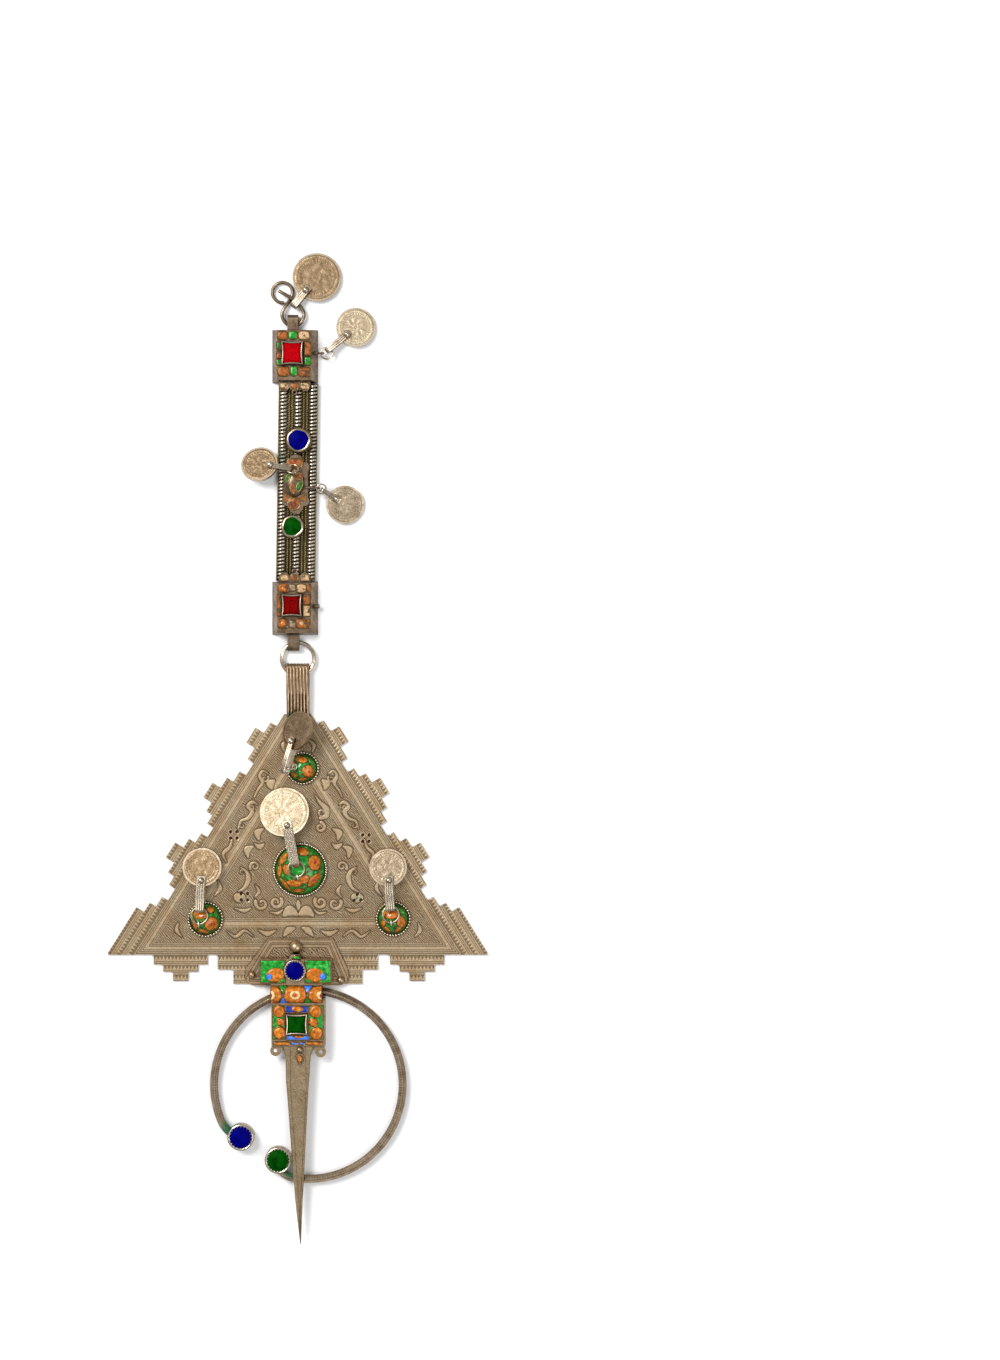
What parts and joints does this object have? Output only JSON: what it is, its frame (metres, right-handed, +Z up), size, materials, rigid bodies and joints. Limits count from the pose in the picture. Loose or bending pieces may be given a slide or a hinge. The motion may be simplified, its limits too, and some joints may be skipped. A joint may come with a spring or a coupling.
{
  "type": "plate fibula brooch with strap and coins",
  "caption": "Triangular silver plate brooch with enamelled bosses, turning hoop, pin, coin drops and a strap of coiled wire, lying face up.",
  "frame": {"origin": "middle of the outline, on the table that the brooch lies on", "axes": "+Y along the brooch from the pin point to the strap hook, +X to the right of someone who looks at its face, +Z up from the table, out of its face"},
  "size_m": [0.1782, 0.4644, 0.0154],
  "materials": {
    "engraved_silver": "hand-engraved silver sheet with a warm grey-brown tarnish",
    "stamped_silver": "silver bar stamped all over with fine dots",
    "fittings_silver": "drawn wire and ribbed strip, rubbed bright",
    "coin_silver": "struck coins, worn",
    "strap_silver": "coiled wire, yellowish tarnish",
    "enamelled_silver": "green, amber and blue enamel between silver wires",
    "worn_enamelled_silver": "silver with worn amber and green enamel",
    "blue_glass": "ultramarine glass",
    "green_glass": "deep green glass",
    "red_glass": "red glass"
  },
  "bodies": {
    "brooch": {"boss_centre": "enamelled_silver", "boss_left": "enamelled_silver", "boss_right": "enamelled_silver", "boss_top": "enamelled_silver", "coin_bail_block": "fittings_silver", "coin_bail_centre": "fittings_silver", "coin_bail_hook": "fittings_silver", "coin_bail_left": "fittings_silver", "coin_bail_right": "fittings_silver", "coin_bail_strap_left": "fittings_silver", "coin_bail_strap_right": "fittings_silver", "coin_bail_top": "fittings_silver", "coin_block": "coin_silver", "coin_centre": "coin_silver", "coin_hook": "coin_silver", "coin_left": "coin_silver", "coin_right": "coin_silver", "coin_strap_left": "coin_silver", "coin_strap_right": "coin_silver", "coin_top": "coin_silver", "head_block": "enamelled_silver", "head_plate": "engraved_silver", "head_stone_blue": "blue_glass", "head_stone_green": "green_glass", "jump_ring_block": "fittings_silver", "jump_ring_centre": "fittings_silver", "jump_ring_left": "fittings_silver", "jump_ring_right": "fittings_silver", "jump_ring_strap_left": "fittings_silver", "jump_ring_strap_right": "fittings_silver", "jump_ring_top": "fittings_silver", "link_ring": "engraved_silver", "neck_loop": "engraved_silver", "pin": "stamped_silver", "plate": "engraved_silver", "strap_band": "strap_silver", "strap_block_lower": "worn_enamelled_silver", "strap_block_upper": "worn_enamelled_silver", "strap_hook": "strap_silver", "strap_mount": "worn_enamelled_silver", "strap_stone_blue": "blue_glass", "strap_stone_green": "green_glass", "strap_stone_lower": "red_glass", "strap_stone_upper": "red_glass", "strap_stud_blue": "strap_silver", "strap_stud_green": "strap_silver"},
    "hoop": {"hoop": "stamped_silver", "hoop_stone_blue": "blue_glass", "hoop_stone_green": "green_glass"}
  },
  "joints": [
    {"name": "hoop_turn", "type": "hinge", "parent": "brooch", "child": "hoop", "pos_m": [0.00515, -0.1579, 0.0029], "axis": [0, 0, 1], "range_deg": [-85, 0]}
  ]
}
